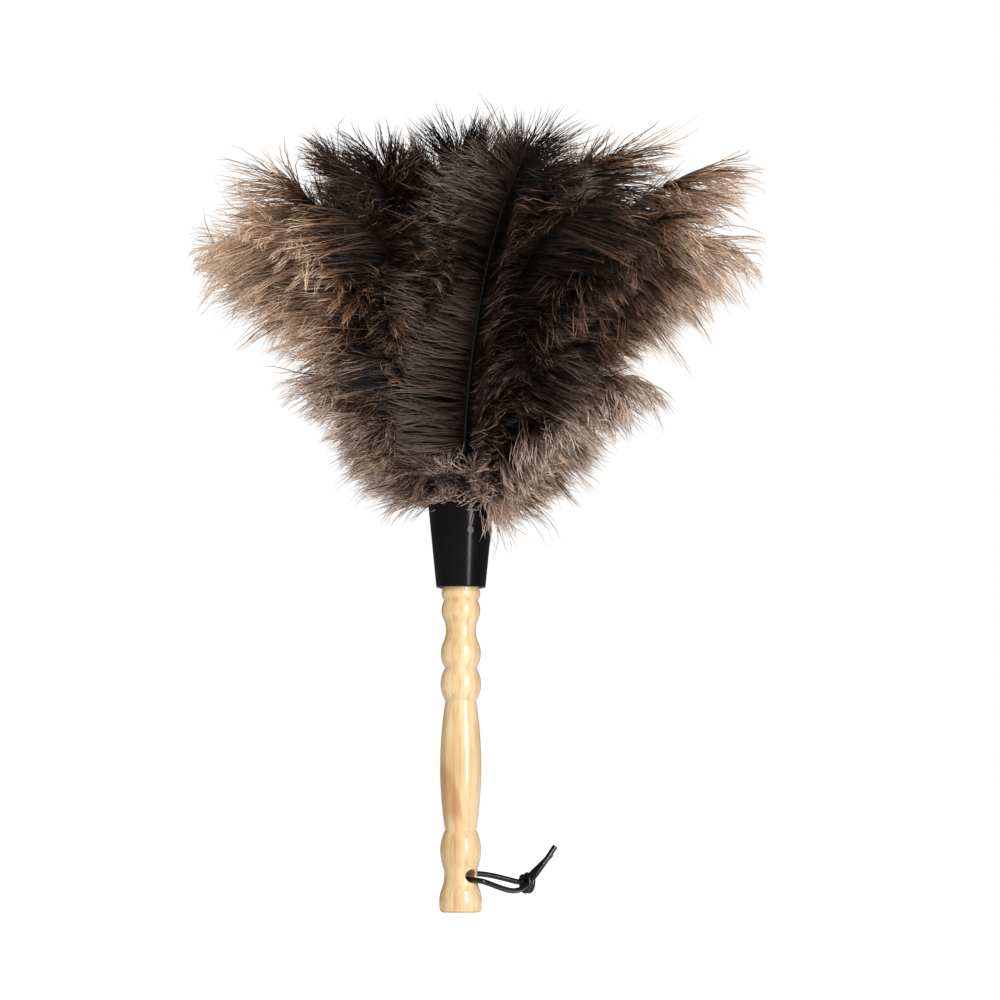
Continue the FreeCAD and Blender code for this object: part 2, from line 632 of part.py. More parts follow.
def make_knot():
    """The overhand knot that closes the loop, as one plain barrel about both strands."""
    body = new_body("thong_knot")
    section = new_sketch(body, "KnotSection")
    half, waist, end = size("knot_length") / 2, size("knot_radius"), size("knot_end_radius")
    low_text, high_text = "-Sizes.knot_length / 2", "Sizes.knot_length / 2"
    bottom, top = Vector(end, -half, 0), Vector(end, half, 0)
    section.addGeometry(Part.LineSegment(Vector(0, -half, 0), bottom))
    section.addGeometry(Part.Arc(bottom, Vector(waist, 0, 0), top))
    section.addGeometry(Part.LineSegment(top, Vector(0, half, 0)))
    section.addGeometry(Part.LineSegment(Vector(0, half, 0), Vector(0, -half, 0)))
    for i in range(4):
        section.addConstraint(Sketcher.Constraint("Coincident", i, 2, (i + 1) % 4, 1))
    place_point(section, 0, 1, Vector(0, -half, 0), (None, low_text))
    place_point(section, 1, 1, bottom, ("Sizes.knot_end_radius", low_text))
    place_point(section, 1, 2, top, ("Sizes.knot_end_radius", high_text))
    place_point(section, 3, 1, Vector(0, half, 0), (None, high_text))
    sagitta = "(Sizes.knot_radius - Sizes.knot_end_radius)"
    radius_text = "(Sizes.knot_length ^ 2 / 4 + %s ^ 2) / (2 * %s)" % (sagitta, sagitta)
    radius = (half**2 + (waist - end) ** 2) / (2 * (waist - end))
    bind(section, "Radius", (1,), radius, radius_text)
    revolve(body, section, "KnotBarrel")
    body.setExpression("Placement.Base.x", "Sizes.knot_reach * cos(Sizes.thong_hole_turn * 1 deg)")
    body.setExpression("Placement.Base.y", "Sizes.knot_reach * sin(Sizes.thong_hole_turn * 1 deg)")
    body.setExpression("Placement.Base.z", "Sizes.knot_height")
    return body


# --------------------------------------------------------------------- build

pieces = [make_handle(), make_collar(), make_thong(), make_knot()]
for ring in RINGS:
    pieces += make_ring(ring[0])
doc.recompute()

for thing in doc.Objects:
    if "Invalid" in thing.State or "Error" in thing.State:
        raise RuntimeError("%s failed to compute" % thing.Name)
for piece in pieces:
    shape = piece.Shape
    if shape.isNull() or not shape.isValid() or len(shape.Solids) != 1:
        raise RuntimeError("%s is not one valid solid" % piece.Label)
for piece in pieces:
    piece.Shape.exportStep("parts/%s.step" % piece.Label)
print("%d pieces written" % len(pieces))
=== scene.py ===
import math

import bpy
import numpy as np
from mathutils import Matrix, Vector


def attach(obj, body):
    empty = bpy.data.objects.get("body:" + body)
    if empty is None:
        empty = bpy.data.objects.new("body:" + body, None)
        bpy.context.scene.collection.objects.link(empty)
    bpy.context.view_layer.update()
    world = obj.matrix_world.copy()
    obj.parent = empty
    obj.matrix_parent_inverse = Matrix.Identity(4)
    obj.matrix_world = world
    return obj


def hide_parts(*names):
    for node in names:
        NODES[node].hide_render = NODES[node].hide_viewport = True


# Feather duster: the turned handle and the moulded collar keep their CAD meshes
# and get worked materials. Each plume is rebuilt as a shaft with loose barbs,
# and the hanging thong as a leather lace with a tied knot. Metres throughout.

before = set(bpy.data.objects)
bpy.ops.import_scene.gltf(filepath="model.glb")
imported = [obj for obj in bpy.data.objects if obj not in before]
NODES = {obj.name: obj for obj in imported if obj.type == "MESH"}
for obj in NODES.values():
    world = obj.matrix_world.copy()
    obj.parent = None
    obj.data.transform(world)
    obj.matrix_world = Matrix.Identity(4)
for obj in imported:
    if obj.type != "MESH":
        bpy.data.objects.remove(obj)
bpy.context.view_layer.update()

# ------------------------------------------------------------------ helpers


def add_object(name, data):
    """A new object with this data, in the scene."""
    made = bpy.data.objects.new(name, data)
    bpy.context.scene.collection.objects.link(made)
    return made


def smooth(x):
    """An even rise from 0 to 1 that starts and ends gently."""
    x = np.clip(x, 0, 1)
    return x * x * (3 - 2 * x)


def unit(v):
    """The same directions, each of length 1."""
    return v / np.linalg.norm(v, axis=-1, keepdims=True)


def between(ends, share):
    """A value that runs evenly from ends[0] to ends[1]."""
    return ends[0] + (ends[1] - ends[0]) * share


# ------------------------------------------------------------------- camera

VIEW_WIDTH = 0.5  # what the picture is wide at the object
VIEW_DISTANCE = 1.6
SENSOR = 36.0  # millimetres, as camera data has it
CLIP_START, CLIP_END = 0.05, 20.0
CAMERA_HEIGHT = 0.050  # below the collar's rims, which then show as shallow arches
AIM = Vector((0.0195, 0.0, 0.2045))


def make_camera():
    data = bpy.data.cameras.new("camera")
    distance = math.hypot(VIEW_DISTANCE, AIM.z - CAMERA_HEIGHT)
    data.lens, data.sensor_width = distance * SENSOR / VIEW_WIDTH, SENSOR
    data.clip_start, data.clip_end = CLIP_START, CLIP_END
    camera = add_object("camera", data)
    camera.location = (AIM.x, -VIEW_DISTANCE, CAMERA_HEIGHT)
    camera.rotation_euler = (AIM - camera.location).to_track_quat("-Z", "Y").to_euler()
    bpy.context.scene.camera = camera


make_camera()

# -------------------------------------------------------------------- thong

# The lace's centreline, as in the CAD: along the loop, across it towards the
# back, and height, from one tail through knot, loop and handle to the other.
LACE_ROUTE = [
    (0.0624, -0.0047, 0.0318),
    (0.0586, -0.0034, 0.0263),
    (0.0542, -0.0023, 0.0210),
    (0.0498, -0.0017, 0.0162),
    (0.0444, -0.0019, 0.0124),
    (0.0376, -0.0043, 0.0103),
    (0.0280, -0.0086, 0.0099),
    (0.0182, -0.0120, 0.0112),
    (0.0092, -0.0129, 0.0135),
    (0.0003, -0.0125, 0.0161),
    (0.0000, 0.0000, 0.0162),
    (0.0003, 0.0125, 0.0165),
    (0.0092, 0.0129, 0.0178),
    (0.0182, 0.0120, 0.0187),
    (0.0276, 0.0086, 0.0180),
    (0.0378, 0.0043, 0.0154),
    (0.0444, 0.0017, 0.0136),
    (0.0498, 0.0015, 0.0168),
    (0.0544, 0.0009, 0.0204),
    (0.0590, -0.0002, 0.0240),
    (0.0636, -0.0008, 0.0278),
]
MIDDLE = 10  # the point of the route inside the handle
LACE_DIAMETER = 0.0028
HALF_ROOT = math.sqrt(0.5)


def from_loop(along, across, height):
    """A point in the row frame from the thong's own directions: the loop lies 45 degrees round."""
    return Vector(((along - across) * HALF_ROOT, (along + across) * HALF_ROOT, height))


def lace_curve(name, diameter, material):
    """An empty curve with the lace's round section and closed ends."""
    curve = bpy.data.curves.new(name, "CURVE")
    curve.dimensions = "3D"
    curve.bevel_depth = diameter / 2
    curve.bevel_resolution = 5
    curve.use_fill_caps = True
    curve.materials.append(material)
    return curve


def add_strand(curve, route, order, resolution):
    """A smooth strand along a route given in the thong's own directions."""
    spline = curve.splines.new("NURBS")
    spline.points.add(len(route) - 1)
    for point, place in zip(spline.points, route):
        point.co = (*from_loop(*place), 1.0)
    spline.order_u = order
    spline.use_endpoint_u = True
    spline.resolution_u = resolution


def lace_half(name, route, material):
    curve = lace_curve(name, LACE_DIAMETER, material)
    add_strand(curve, route, 3, 16)
    return add_object(name, curve)


KNOT_CENTRE = (0.0472, 0.0, 0.0136)
KNOT_TALL, KNOT_DEEP = 0.0042, 0.0022  # half sizes of a wrap's centreline
KNOT_SPACING = 0.0026  # between the two wraps, and how far each advances in a turn
KNOT_DIAMETER = LACE_DIAMETER * 0.98  # the lace is pulled a little thinner there
# A wrap's first and last place and its middle, in turns, and its angle at turn 0.
# Over the last quarter of each half, its ends are drawn in by a share of its size.
KNOT_FIRST, KNOT_LAST, KNOT_MIDDLE, KNOT_START = -0.2, 1.12, 0.46, 0.9
KNOT_HALF_WRAP, KNOT_TUCK = 0.66, 0.55
KNOT_POINTS = 19


def knot_wrap(side):
    """One wrap's route, in the thong's own directions."""
    route = []
    for turn in np.linspace(KNOT_FIRST, KNOT_LAST, KNOT_POINTS):
        tuck = 1 - KNOT_TUCK * smooth(abs(turn - KNOT_MIDDLE) / KNOT_HALF_WRAP * 4 - 3)
        angle = 2 * math.pi * turn + KNOT_START
        along = KNOT_CENTRE[0] + KNOT_SPACING * (side + turn - KNOT_MIDDLE)
        across = KNOT_DEEP * tuck * math.sin(angle)
        height = KNOT_CENTRE[2] + KNOT_TALL * tuck * math.cos(angle)
        route.append((along, across, height))
    return route


def make_knot(material):
    """The overhand knot in the doubled lace: two wraps side by side, each just over one turn."""
    curve = lace_curve("thong_overhand_knot", KNOT_DIAMETER, material)
    for side in (-0.5, 0.5):
        add_strand(curve, knot_wrap(side), 4, 10)
    knot = add_object("thong_overhand_knot", curve)
    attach(knot, "thong")
    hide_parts("thong_knot")
    return knot


# ---------------------------------------------------------------- materials


def linear(red, green, blue):
    """An sRGB colour, 0 to 255, as the shader's linear colour."""
    return tuple(
        (c / 255 / 12.92 if c <= 10 else ((c / 255 + 0.055) / 1.055) ** 2.4) for c in (red, green, blue)
    ) + (1.0,)


class Nodes:
    """A material's node tree, with short calls for adding and linking nodes."""

    def __init__(self, name):
        self.material = bpy.data.materials.new(name)
        self.material.use_nodes = True
        self.tree = self.material.node_tree
        self.shader = self.tree.nodes["Principled BSDF"]

    def add(self, kind, **settings):
        node = self.tree.nodes.new("ShaderNode" + kind)
        for key, value in settings.items():
            setattr(node, key, value)
        return node

    def link(self, output, socket):
        self.tree.links.new(output, socket)

    def feed(self, socket, value):
        """Link an output to this input, or set the input to a plain value."""
        if isinstance(value, bpy.types.NodeSocket):
            self.link(value, socket)
        else:
            socket.default_value = value

    def put(self, node, **values):
        """Feed inputs by name, with _ for a space."""
        for key, value in values.items():
            self.feed(node.inputs[key.replace("_", " ")], value)

    def ramp(self, factor, stops):
        node = self.add("ValToRGB")
        elements = node.color_ramp.elements
        while len(elements) < len(stops):
            elements.new(0.5)
        for element, (position, colour) in zip(elements, stops):
            element.position = position
            element.color = colour
        self.link(factor, node.inputs["Fac"])
        return node.outputs["Color"]

    def mix(self, factor, a, b, blend="MIX"):
        node = self.add("Mix", data_type="RGBA", blend_type=blend)
        for index, value in ((0, factor), (6, a), (7, b)):  # the inputs for colours
            self.feed(node.inputs[index], value)
        return node.outputs[2]

    def maths(self, operation, *values):
        node = self.add("Math", operation=operation)
        for socket, value in zip(node.inputs, values):
            self.feed(socket, value)
        return node.outputs[0]

    def waver(self, value, amount):
        """A noise from 0 to 1, made to swing about 0."""
        return self.maths("MULTIPLY", self.maths("SUBTRACT", value, 0.5), amount)

    def rise(self, value, start, end):
        """0 at start, 1 at end, smooth between."""
        node = self.add("MapRange", interpolation_type="SMOOTHSTEP")
        self.put(node, Value=value, From_Min=start, From_Max=end)
        return node.outputs[0]

    def stretch(self, vector, scale):
        mapping = self.add("Mapping")
        self.put(mapping, Vector=vector, Scale=scale)
        return mapping.outputs[0]

    def place(self, scale):
        """The object's own coordinates, stretched."""
        return self.stretch(self.add("TexCoord").outputs["Object"], scale)

    def noise(self, vector, scale, detail=3.0, roughness=0.5, distortion=0.0):
        node = self.add("TexNoise")
        self.put(node, Vector=vector, Scale=scale, Detail=detail)
        self.put(node, Roughness=roughness, Distortion=distortion)
        return node.outputs["Fac"]

    def bump(self, height, distance, strength=1.0):
        node = self.add("Bump")
        self.put(node, Height=height, Distance=distance, Strength=strength)
        self.link(node.outputs[0], self.shader.inputs["Normal"])


# A pinkish brown flame of heartwood in the lower left of the grip. At the middle
# height its edge runs between these two x; it slants with height and waves with
# the streaks. The flame fades in and out over these heights, and it is on the
# front only.
FLAME_MIDDLE, FLAME_SLANT, FLAME_WAVES = 0.058, 0.30, 0.012
FLAME_EDGE = (0.0005, -0.0030)
FLAME_BOTTOM, FLAME_TOP, FLAME_FRONT = (0.041, 0.050), (0.079, 0.066), (0.001, -0.001)
FLAME_STRENGTH = 0.65


def flame_of(n, streaks):
    """Where the flame is, from 0 to 1."""
    here = n.add("SeparateXYZ")
    n.link(n.add("TexCoord").outputs["Object"], here.inputs[0])
    x, y, z = here.outputs
    slant = n.maths("MULTIPLY", n.maths("SUBTRACT", z, FLAME_MIDDLE), FLAME_SLANT)
    edge = n.maths("ADD", n.maths("ADD", x, slant), n.waver(streaks, FLAME_WAVES))
    flame = n.rise(edge, *FLAME_EDGE)
    for value, ends in ((z, FLAME_BOTTOM), (z, FLAME_TOP), (y, FLAME_FRONT)):
        flame = n.maths("MULTIPLY", flame, n.rise(value, *ends))
    return flame


def wood_material():
    """Pale lacquered birch: long streaks up the handle, a few brown ones, and fine pores."""
    n = Nodes("lacquered_wood")
    streaks = n.noise(n.place((90, 90, 4.5)), 1.6, 6.0, 0.62, 0.35)
    fine = n.noise(n.place((420, 420, 9)), 1.0, 3.0, 0.6)
    patches = n.noise(n.place((30, 30, 14)), 1.4, 2.0, 0.5)
    body = n.ramp(
        streaks,
        [
            (0.30, linear(207, 172, 124)),
            (0.44, linear(225, 195, 149)),
            (0.58, linear(232, 206, 162)),
            (0.74, linear(237, 216, 178)),
        ],
    )
    pores = n.ramp(fine, [(0.34, linear(205, 160, 104)), (0.52, (1, 1, 1, 1))])
    shade = n.ramp(patches, [(0.3, linear(232, 214, 190)), (0.62, (1, 1, 1, 1))])
    colour = n.mix(0.38, body, pores, "MULTIPLY")
    colour = n.mix(0.75, colour, shade, "MULTIPLY")
    flame = n.maths("MULTIPLY", flame_of(n, streaks), FLAME_STRENGTH)
    colour = n.mix(flame, colour, linear(212, 178, 142), "MULTIPLY")
    n.put(n.shader, Base_Color=colour, Roughness=0.36, Coat_Weight=0.75, Coat_Roughness=0.10)
    n.bump(fine, 0.00012, 0.35)
    return n.material


def plastic_material():
    """Black moulded plastic with faint waves and scuffs in its gloss."""
    n = Nodes("moulded_plastic")
    waves = n.noise(n.place((60, 60, 25)), 1.0, 2.0, 0.5)
    scuffs = n.noise(n.place((300, 300, 900)), 1.0, 4.0, 0.7)
    colour = n.ramp(waves, [(0.35, linear(3, 3, 4)), (0.7, linear(9, 8, 9))])
    roughness = n.maths("MULTIPLY_ADD", scuffs, 0.22, 0.10)
    n.put(n.shader, Base_Color=colour, Roughness=roughness, Specular_IOR_Level=0.14)
    n.bump(waves, 0.0003, 0.25)
    return n.material


def leather_material():
    """Black round leather lace with a waxed, finely grained skin."""
    n = Nodes("waxed_leather")
    grain = n.noise(n.place((1, 1, 1)), 2600.0, 4.0, 0.65)
    folds = n.noise(n.place((1, 1, 1)), 420.0, 3.0, 0.6)
    colour = n.ramp(folds, [(0.3, linear(5, 5, 5)), (0.7, linear(17, 15, 16))])
    roughness = n.ramp(grain, [(0.3, (0.20, 0.20, 0.20, 1)), (0.7, (0.40, 0.40, 0.40, 1))])
    n.put(n.shader, Base_Color=colour, Roughness=roughness, Coat_Weight=0.3, Coat_Roughness=0.1)
    n.bump(n.mix(0.5, grain, folds), 0.00018, 0.6)
    return n.material


def wire_material():
    """Drawn steel wire, a little dull."""
    n = Nodes("drawn_steel_wire")
    dull = n.noise(n.place((200, 200, 1400)), 1.0, 4.0, 0.6)
    colour = n.ramp(dull, [(0.3, linear(120, 116, 110)), (0.7, linear(190, 186, 178))])
    n.put(n.shader, Base_Color=colour, Metallic=1.0, Roughness=0.35)
    n.bump(dull, 0.00005, 0.4)
    return n.material


# A barb's UV is its own place in a colour chart: U runs from its root to its
# tip, and V from the darker, redder barbs to the paler, greyer ones. The strip
# up to SHAFT_CHART is the shaft's, and the barbs' begins at BARB_CHART.
UV_CHART = "OFBake"
BARB_CHART, SHAFT_CHART = 0.12, 0.09


def chart_axes(n):
    """The chart's place, and its two axes on their own."""
    uv = n.add("UVMap", uv_map=UV_CHART).outputs[0]
    parts = n.add("SeparateXYZ")
    n.link(uv, parts.inputs[0])
    return uv, parts.outputs[0], parts.outputs[1]


def barb_material(name, dark_stops, pale_stops):
    """Soft barbs: dark at the shaft, pale at the tip, each clump a little different."""
    n = Nodes(name)
    uv, along, tone = chart_axes(n)
    tone = n.maths("DIVIDE", n.maths("SUBTRACT", tone, BARB_CHART), 1 - BARB_CHART)
    flecks = n.noise(n.stretch(uv, (7, 90, 1)), 1.0, 3.0, 0.6)
    shifted = n.maths("ADD", along, n.waver(flecks, 0.45))
    dark = n.ramp(shifted, dark_stops)
    pale = n.ramp(shifted, pale_stops)
    colour = n.mix(tone, dark, pale)
    n.put(n.shader, Base_Color=colour, Roughness=0.42, Specular_IOR_Level=0.4)
    return n.material


def down_material():
    """Curly beige-grey down, a little browner at its root."""
    n = Nodes("plume_down")
    uv, along, _ = chart_axes(n)
    flecks = n.noise(uv, 40.0, 3.0, 0.6)
    body = n.ramp(
        along, [(0.0, linear(122, 97, 82)), (0.4, linear(190, 163, 144)), (1.0, linear(238, 215, 198))]
    )
    shade = n.ramp(flecks, [(0.3, linear(165, 140, 128)), (0.65, (1, 1, 1, 1))])
    n.put(n.shader, Base_Color=n.mix(0.8, body, shade, "MULTIPLY"), Roughness=0.7)
    return n.material


def shaft_material():
    """Black horn with fine lines along it."""
    n = Nodes("plume_shaft")
    uv, _, _ = chart_axes(n)
    lines = n.noise(n.stretch(uv, (60, 200, 1)), 1.0, 4.0, 0.6)
    colour = n.ramp(lines, [(0.3, linear(8, 7, 7)), (0.7, linear(26, 22, 20))])
    n.put(n.shader, Base_Color=colour, Roughness=0.45, Specular_IOR_Level=0.3)
    return n.material


# ------------------------------------------------------------------- plumes

# The rings: count, turn of the first plume, parting, radius of the quill ring,
# height of the quills' feet, bend radius and reach in degrees. All as in the
# CAD, but for the outer ring, which bends a little more gently here.
RINGS = {
    "core": (5, 18.0, 0.0, 0.00505, 0.1656, 0.900, 12.3),
    "inner": (9, 30.0, 0.0, 0.0067, 0.1713, 0.290, 42.0),
    "middle": (11, 16.0, 0.0, 0.00835, 0.1770, 0.175, 72.0),
    "outer": (12, 297.0, 26.0, 0.0100, 0.1827, 0.135, 92.0),
    "lower": (11, 300.0, 30.0, 0.01165, 0.1883, 0.066, 108.0),
}
SHORT_BEND = 0.042  # every second plume of the lowest ring
LENGTHS = [1.0, 0.96, 0.985, 0.93]  # shares of the reach, repeated round a ring
BEND_START = 0.201
VANE_START = 0.004
UP = np.array([0.0, 0.0, 1.0])
CROSS_WITH = np.array([0.31, 0.17, 0.93])  # any direction that no barb runs exactly along

# How each ring is dressed: the number of barbs, their longest length, how
# steeply they leave the shaft at the vane's foot and at its tip (degrees from
# the shaft), their lean to the hollow side at foot and tip, how much they droop,
# and where on the vane they begin. Where given: how much paler the vane gets
# towards its tip, and the number of down barbs at its foot.
DRESS = {
    "core": dict(barbs=1350, length=0.038, angles=(50, 50), leans=(0.1, 0.2), droop=0.05, start=0.45),
    "inner": dict(barbs=1400, length=0.040, angles=(56, 52), leans=(0.2, 0.3), droop=0.12, start=0.35),
    "middle": dict(
        barbs=1350, length=0.048, angles=(58, 52), leans=(0.4, 0.4), droop=0.24, start=0.08,
        paling=0.5, down=70,
    ),
    "outer": dict(
        barbs=1500, length=0.053, angles=(64, 54), leans=(0.9, 0.7), droop=0.36, start=0.0,
        paling=0.7, down=110,
    ),
    "lower": dict(
        barbs=1250, length=0.038, angles=(76, 50), leans=(1.5, 0.5), droop=0.40, start=0.0,
        paling=0.6, down=150,
    ),
}
# The long plume in the parting, whose shaft shows from collar to tip. Its barbs
# are combed straight out to both sides and cling less. Those on its -X side are painted
# paler by the side paling, as painted light against the painted shade of its +X side,
# and palest ends all its colours short of their palest.
FRONT_PLUME = ("middle", 8)
FRONT_DRESS = dict(
    barbs=2900, length=0.049, angles=(88, 46), leans=(0.32, 0.25), droop=0.10, start=0.02,
    cling=0.42, paling=-0.45, lit_side_paling=0.30, palest=0.76,
)
FRONT_SWAY = 0.016  # its tip leans this far sideways
FRONT_SHARE = 0.955  # and it is so much shorter than its ring's
# the side tone paints the long plume's -X side paler and its +X side darker: painted light and shade
FRONT_TONE, FRONT_LIT_SIDE_TONE = 0.16, 0.08  # its -X side is the paler one
# Between these heights the barbs and shafts that would hide it are tucked in
# behind it, from so far on its -X side to so far on its +X side. Higher up, the
# parting is narrower.
PARTING_LOW, PARTING_HIGH = 0.212, 0.340
PARTING_LEFT, PARTING_LEFT_TOP, PARTING_RIGHT = 0.036, 0.014, 0.010
PARTING_EDGE = 0.006  # how far the tucking takes to fade out
TUCK_DEPTH = 0.003
# The share of the CAD vane's length that the shaft runs, after which the last
# barbs reach on past it, and how much more that is towards +X than across.
SHAFT_SHARES = {
    "core": (0.88, 0.0),
    "inner": (0.84, 0.0),
    "middle": (0.91, 0.07),
    "outer": (0.865, 0.035),
    "lower": (0.82, 0.08),
}
SEGMENTS = 6  # of a barb
CLUMP, CLING = 6, 0.75  # neighbouring barbs that draw together, and how closely
CROWDING = 0.8  # below 1, barbs stand closer towards the vane's tip
LAST_BARB = 0.985  # the last one's place, as a share of the reach
TIP_TUFT = 0.94  # from this share of the vane on, barbs may leave almost along the shaft
# How far chance moves a barb: first what a clump does, then what one barb does.
LEAVE_ODDS, LEAN_ODDS, DROOP_ODDS = (0.12, 0.05), (0.15, 0.08), (0.3, 0.15)
LENGTH_ODDS, TONE_ODDS = (0.10, 0.10), (0.24, 0.42)
LEAN_SPREAD, CURL_ALONG, CURL_HOLLOW, STRAY = 0.3, 0.20, 0.22, 0.11
HOLLOW_PULL = 0.2  # all barbs curve this much to the hollow side
MIDDLE_TONE = 0.42
# The head isn't the same all round: barbs hang lower on its +X side, are combed
# out sideways in front and behind, are shaggier behind, and pale less in front,
# which paints shade on the front of the head.
HEAVY_SIDE, COMBED_FRONT, COMBED_BACK = 0.45, 0.7, 0.55
SHAGGY_BACK, SHADED_FRONT = 0.9, 0.5
# The down of these is long and hangs.
WISPY_PLUMES = (("lower", 1), ("lower", 2), ("outer", 2), ("middle", 10))
# Painted light and shade: towards these azimuths the head is painted so much paler or darker,
# pale at both sides as painted light and dark to the front as painted shade. The change starts
# and is whole where the cosine of the angle to them is as given.
LIGHT_AND_SHADE_TONES = ((190.0, 0.46, 0.4, 1.0), (0.0, 0.20, 0.6, 1.0), (287.0, -0.12, 0.1, 0.75))
# Painted shade: the front of the head, deep in shade, is painted dark between two borders,
# given as heights and places across, and up to a height. There barbs keep to the dark end
# of their colours and have a darker tone. Of the last row, the second value is how far the change takes.
SHADE_LEFT = ((0.200, 0.245, 0.300, 0.345), (-0.036, -0.068, -0.070, -0.090))
SHADE_RIGHT = ((0.215, 0.240, 0.265, 0.300, 0.340, 0.375), (0.014, 0.058, 0.094, 0.112, 0.112, 0.040))
SHADE_TOP, SHADE_EDGE, SHADE_DARKENING, SHADE_TONE = 0.395, 0.018, 0.54, -0.50
# What reaches further out than this keeps only a share of the excess.
TRIM_CENTRE, TRIM_RADIUS, TRIM_SHARE = (0.009, 0.0), 0.142, 0.3
FRIZZ = 0.0009
BARB_RADIUS, FRONT_BARB_RADIUS, DOWN_RADIUS = 0.00032, 0.00026, 0.00028  # at the root
BARB_TIP_RADIUS, BARB_TAPER = 0.00011, 0.7
TONE_STEP = 0.004  # between a barb's three sides
SHAFT_RADII = (0.0008, 0.0002)  # at root and tip
FRONT_SHAFT_RADII = (0.0012, 0.0005)
DOWN_LOW = 0.2025  # down that isn't wispy stays near or above the collar's rim
DOWN_FOOT = 0.018  # the length of shaft it grows on
DOWN_LENGTHS, WISPY_LENGTH = (0.007, 0.019), 1.7


def direction(azimuth):
    """The level direction at this azimuth, in degrees."""
    return np.array([math.cos(math.radians(azimuth)), math.sin(math.radians(azimuth)), 0.0])


class Shaft:
    """A plume's centreline: upright in the collar, then bent outwards on an arc."""

    def __init__(self, azimuth, ring_radius, foot, bend, reach, sway=0.0):
        self.out = np.array([math.cos(azimuth), math.sin(azimuth), 0.0])
        self.side = np.array([-math.sin(azimuth), math.cos(azimuth), 0.0])
        self.ring_radius, self.foot, self.bend = ring_radius, foot, bend
        self.reach, self.sway = reach, sway

    def place(self, angle):
        """Points at these angles of the bend, swayed sideways towards the tip."""
        radial = self.ring_radius + self.bend * (1 - np.cos(angle))
        height = BEND_START + self.bend * np.sin(angle)
        sideways = self.sway * (angle / self.reach) ** 2
        return radial[:, None] * self.out + height[:, None] * UP + sideways[:, None] * self.side

    def frame(self, angle):
        """The direction along the shaft, the sideways one, and the one to the hollow side."""
        lean = 2 * self.sway * angle / self.reach**2 / self.bend
        along = np.sin(angle)[:, None] * self.out + np.cos(angle)[:, None] * UP + lean[:, None] * self.side
        along = unit(along)
        hollow = np.cos(angle)[:, None] * self.out - np.sin(angle)[:, None] * UP
        across = np.cross(hollow, along)
        return along, unit(across), hollow


def part(points, long_plume):
    """Push what would hide the long plume back behind it."""
    line = long_plume.place(np.linspace(0, long_plume.reach, 60))
    x, y, z = points[..., 0], points[..., 1], points[..., 2]
    beside = x - np.interp(z, line[:, 2], line[:, 0])
    behind = np.interp(z, line[:, 2], line[:, 1]) + TUCK_DEPTH
    rise = (z - PARTING_LOW) / (PARTING_HIGH - PARTING_LOW)
    left = between((PARTING_LEFT, PARTING_LEFT_TOP), smooth(rise * 2 - 0.7))
    inside = smooth((beside + left) / PARTING_EDGE) * smooth((PARTING_RIGHT - beside) / PARTING_EDGE)
    inside = inside * smooth((z - PARTING_LOW) / PARTING_EDGE) * smooth((PARTING_HIGH - z) / PARTING_EDGE)
    parted = points.copy()
    parted[..., 1] += np.maximum(behind - y, 0) * inside
    return parted


def trim(points):
    """Draw in what reaches out too far sideways."""
    level = points[..., :2] - TRIM_CENTRE
    distance = np.linalg.norm(level, axis=-1, keepdims=True)
    excess = np.maximum(distance - TRIM_RADIUS, 0) * (1 - TRIM_SHARE)
    level = level * (1 - excess / np.maximum(distance, TRIM_RADIUS))
    return np.concatenate([level + TRIM_CENTRE, points[..., 2:]], axis=-1)


def painted_shade(points):
    """How far inside the painted shade over the front of the head these points are, from 0 to 1."""
    x, y, z = points[..., 0], points[..., 1], points[..., 2]
    depths = (x - np.interp(z, *SHADE_LEFT), np.interp(z, *SHADE_RIGHT) - x, -y, SHADE_TOP - z)
    return math.prod(smooth(depth / SHADE_EDGE) for depth in depths)


def grow(roots, start, bend, droop, length):
    """Centrelines, (count, points, 3), that leave their roots towards start, bend and droop."""
    points = np.empty((len(roots), SEGMENTS + 1, 3))
    points[:, 0] = roots
    for k in range(SEGMENTS):
        s = (k + 0.5) / SEGMENTS
        heading = unit(start + s * bend - (droop * s)[:, None] * UP)
        points[:, k + 1] = points[:, k] + heading * (length / SEGMENTS)[:, None]
    return points


